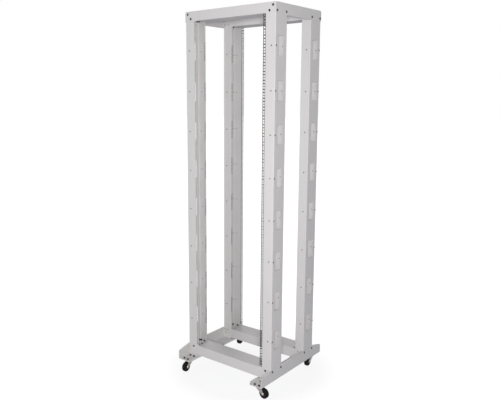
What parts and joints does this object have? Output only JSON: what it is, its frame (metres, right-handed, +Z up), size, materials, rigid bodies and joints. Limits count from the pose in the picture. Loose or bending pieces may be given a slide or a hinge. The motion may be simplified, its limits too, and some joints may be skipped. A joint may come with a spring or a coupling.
{
  "type": "four post open frame rack",
  "caption": "Tall open steel frame with slotted channel posts, channel beams at top and base, and sloped side feet on small swivel casters.",
  "frame": {"origin": "on the floor at the middle of the frame's footprint", "axes": "+X to the right seen from the front, +Y to the rear, +Z up"},
  "size_m": [0.6213, 0.6233, 2.068],
  "materials": {
    "frame_powder_coat": "light grey fine textured powder coat",
    "foot_powder_coat": "light grey fine textured powder coat, worn at the edges",
    "caster_zinc": "bright zinc plate",
    "axle_zinc": "bright zinc plate",
    "wheel_rubber": "black rubber"
  },
  "bodies": {
    "frame": {"front_left_post": "frame_powder_coat", "front_right_post": "frame_powder_coat", "rear_left_post": "frame_powder_coat", "rear_right_post": "frame_powder_coat", "top_front_beam": "frame_powder_coat", "base_front_beam": "frame_powder_coat", "top_rear_beam": "frame_powder_coat", "base_rear_beam": "frame_powder_coat", "top_left_beam": "frame_powder_coat", "left_foot": "foot_powder_coat", "top_right_beam": "frame_powder_coat", "right_foot": "foot_powder_coat", "front_left_caster_plate": "caster_zinc", "front_right_caster_plate": "caster_zinc", "rear_left_caster_plate": "caster_zinc", "rear_right_caster_plate": "caster_zinc"},
    "front_left_fork_body": {"front_left_caster_fork": "caster_zinc", "front_left_caster_axle": "axle_zinc"},
    "front_left_wheel_body": {"front_left_caster_wheel": "wheel_rubber"},
    "front_right_fork_body": {"front_right_caster_fork": "caster_zinc", "front_right_caster_axle": "axle_zinc"},
    "front_right_wheel_body": {"front_right_caster_wheel": "wheel_rubber"},
    "rear_left_fork_body": {"rear_left_caster_fork": "caster_zinc", "rear_left_caster_axle": "axle_zinc"},
    "rear_left_wheel_body": {"rear_left_caster_wheel": "wheel_rubber"},
    "rear_right_fork_body": {"rear_right_caster_fork": "caster_zinc", "rear_right_caster_axle": "axle_zinc"},
    "rear_right_wheel_body": {"rear_right_caster_wheel": "wheel_rubber"}
  },
  "joints": [
    {"name": "front_left_swivel", "type": "hinge", "parent": "frame", "child": "front_left_fork_body", "pos_m": [-0.26, -0.261, 0.06], "axis": [0, 0, 1], "continuous": true},
    {"name": "front_left_roll", "type": "hinge", "parent": "front_left_fork_body", "child": "front_left_wheel_body", "pos_m": [-0.25843, -0.29096, 0.028], "axis": [0.9986, 0.0523, 0], "continuous": true},
    {"name": "front_right_swivel", "type": "hinge", "parent": "frame", "child": "front_right_fork_body", "pos_m": [0.26, -0.261, 0.06], "axis": [0, 0, 1], "continuous": true},
    {"name": "front_right_roll", "type": "hinge", "parent": "front_right_fork_body", "child": "front_right_wheel_body", "pos_m": [0.28996, -0.26257, 0.028], "axis": [0.0523, 0.9986, 0], "continuous": true},
    {"name": "rear_left_swivel", "type": "hinge", "parent": "frame", "child": "rear_left_fork_body", "pos_m": [-0.26, 0.261, 0.06], "axis": [0, 0, 1], "continuous": true},
    {"name": "rear_left_roll", "type": "hinge", "parent": "rear_left_fork_body", "child": "rear_left_wheel_body", "pos_m": [-0.25738, 0.23111, 0.028], "axis": [0.9962, 0.0872, 0], "continuous": true},
    {"name": "rear_right_swivel", "type": "hinge", "parent": "frame", "child": "rear_right_fork_body", "pos_m": [0.26, 0.261, 0.06], "axis": [0, 0, 1], "continuous": true},
    {"name": "rear_right_roll", "type": "hinge", "parent": "rear_right_fork_body", "child": "rear_right_wheel_body", "pos_m": [0.26105, 0.23102, 0.028], "axis": [0.9994, 0.0349, 0], "continuous": true}
  ]
}
